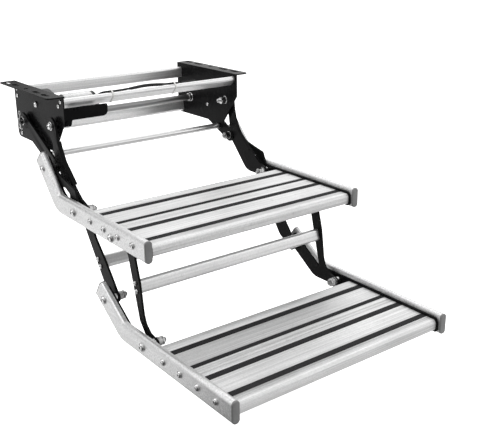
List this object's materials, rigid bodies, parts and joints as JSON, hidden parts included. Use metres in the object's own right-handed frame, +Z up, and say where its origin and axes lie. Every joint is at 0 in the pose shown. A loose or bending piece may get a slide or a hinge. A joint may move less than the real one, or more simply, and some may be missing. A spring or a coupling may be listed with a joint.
{
  "type": "caravan pull out step",
  "caption": "Motor-driven double fold-out entrance step: ribbed aluminium treads with grip strips between bent rails, carried by black steel arms on a frame bolted under the floor.",
  "frame": {"origin": "middle of the mounting slot pattern, on the top faces of the two flanges", "axes": "+X to the right seen from outside the vehicle, -Y away from the vehicle, +Z up"},
  "size_m": [0.562, 0.935, 0.459],
  "materials": {
    "black_steel": "satin",
    "aluminium": "satin",
    "zinc_steel": "satin",
    "grip_rubber": "matte",
    "grey_plastic": "matte",
    "black_plastic": "matte",
    "white_plastic": "matte"
  },
  "bodies": {
    "frame": {"left_side_plate": "black_steel", "right_side_plate": "black_steel", "front_top_tube": "aluminium", "rear_top_tube": "aluminium", "rear_lower_tube": "aluminium", "frame_tube_screws": "zinc_steel", "lever_pivot_bolts": "zinc_steel", "shaft_bushes": "black_plastic", "gearbox_case": "black_plastic", "gearbox_cover": "black_plastic", "gearbox_bolts": "zinc_steel", "idler_axle": "zinc_steel", "motor_can": "zinc_steel", "motor_end_cap": "black_plastic", "motor_cover": "black_steel", "motor_cover_screws": "zinc_steel", "motor_lead": "black_plastic", "lead_plug": "black_plastic", "cable_ties": "white_plastic"},
    "drive_arms": {"drive_shaft": "zinc_steel", "left_drive_arm": "black_steel", "right_drive_arm": "black_steel", "drive_tie_rod": "zinc_steel", "tie_rod_screws": "zinc_steel", "shaft_castle_nuts": "zinc_steel", "shaft_split_pins": "zinc_steel", "drive_gear": "zinc_steel", "drive_arm_nuts": "zinc_steel"},
    "idler": {"idler_gear": "zinc_steel"},
    "pinion": {"motor_pinion": "zinc_steel"},
    "levers": {"left_lever": "black_steel", "right_lever": "black_steel", "lever_cross_tube": "aluminium", "lever_tube_screws": "zinc_steel"},
    "upper_step": {"upper_left_rail": "aluminium", "upper_right_rail": "aluminium", "upper_tread": "aluminium", "upper_grip_strips": "grip_rubber", "upper_side_plates": "black_steel", "upper_end_caps": "grey_plastic", "upper_tread_screws": "zinc_steel", "upper_pivot_bolts": "zinc_steel", "upper_rear_bolts": "zinc_steel", "link_pivot_bolts": "zinc_steel"},
    "front_links": {"left_front_link": "black_steel", "right_front_link": "black_steel", "front_link_tube": "aluminium", "front_link_screws": "zinc_steel", "front_link_nuts": "zinc_steel"},
    "lower_step": {"lower_left_rail": "aluminium", "lower_right_rail": "aluminium", "lower_tread": "aluminium", "lower_grip_strips": "grip_rubber", "lower_side_plates": "black_steel", "lower_end_caps": "grey_plastic", "lower_tread_screws": "zinc_steel", "lower_pivot_bolts": "zinc_steel", "lower_front_bolts": "zinc_steel"}
  },
  "joints": [
    {"name": "lever_fold", "type": "hinge", "parent": "frame", "child": "levers", "pos_m": [0, -0.098, -0.071], "axis": [1, 0, 0], "range_deg": [0, 108]},
    {"name": "drive_shaft_turn", "type": "hinge", "parent": "frame", "child": "drive_arms", "pos_m": [0, 0.06084, -0.0865], "axis": [1, 0, 0], "range_deg": [0, 152.09]},
    {"name": "idler_turn", "type": "hinge", "parent": "frame", "child": "idler", "pos_m": [0, -0.01447, -0.05834], "axis": [1, 0, 0], "range_deg": [-96.46, 0]},
    {"name": "pinion_turn", "type": "hinge", "parent": "frame", "child": "pinion", "pos_m": [0, -0.07404, -0.03607], "axis": [1, 0, 0], "range_deg": [0, 329.46]},
    {"name": "upper_step_level", "type": "hinge", "parent": "levers", "child": "upper_step", "pos_m": [0, -0.242, -0.2295], "axis": [1, 0, 0], "range_deg": [-108.05, 0]},
    {"name": "lower_step_level", "type": "hinge", "parent": "levers", "child": "lower_step", "pos_m": [0, -0.357, -0.3915], "axis": [1, 0, 0], "range_deg": [-108.05, 0]},
    {"name": "front_link_swing", "type": "hinge", "parent": "upper_step", "child": "front_links", "pos_m": [0, -0.4073, -0.238], "axis": [1, 0, 0], "range_deg": [0, 92.02]}
  ],
  "couplings": [
    {"joint": "drive_shaft_turn", "follows": "lever_fold", "ratio": 1.4077},
    {"joint": "idler_turn", "follows": "lever_fold", "ratio": -0.89271},
    {"joint": "pinion_turn", "follows": "lever_fold", "ratio": 3.0501},
    {"joint": "upper_step_level", "follows": "lever_fold", "ratio": -1},
    {"joint": "lower_step_level", "follows": "lever_fold", "ratio": -1},
    {"joint": "front_link_swing", "follows": "lever_fold", "ratio": 0.85157}
  ]
}
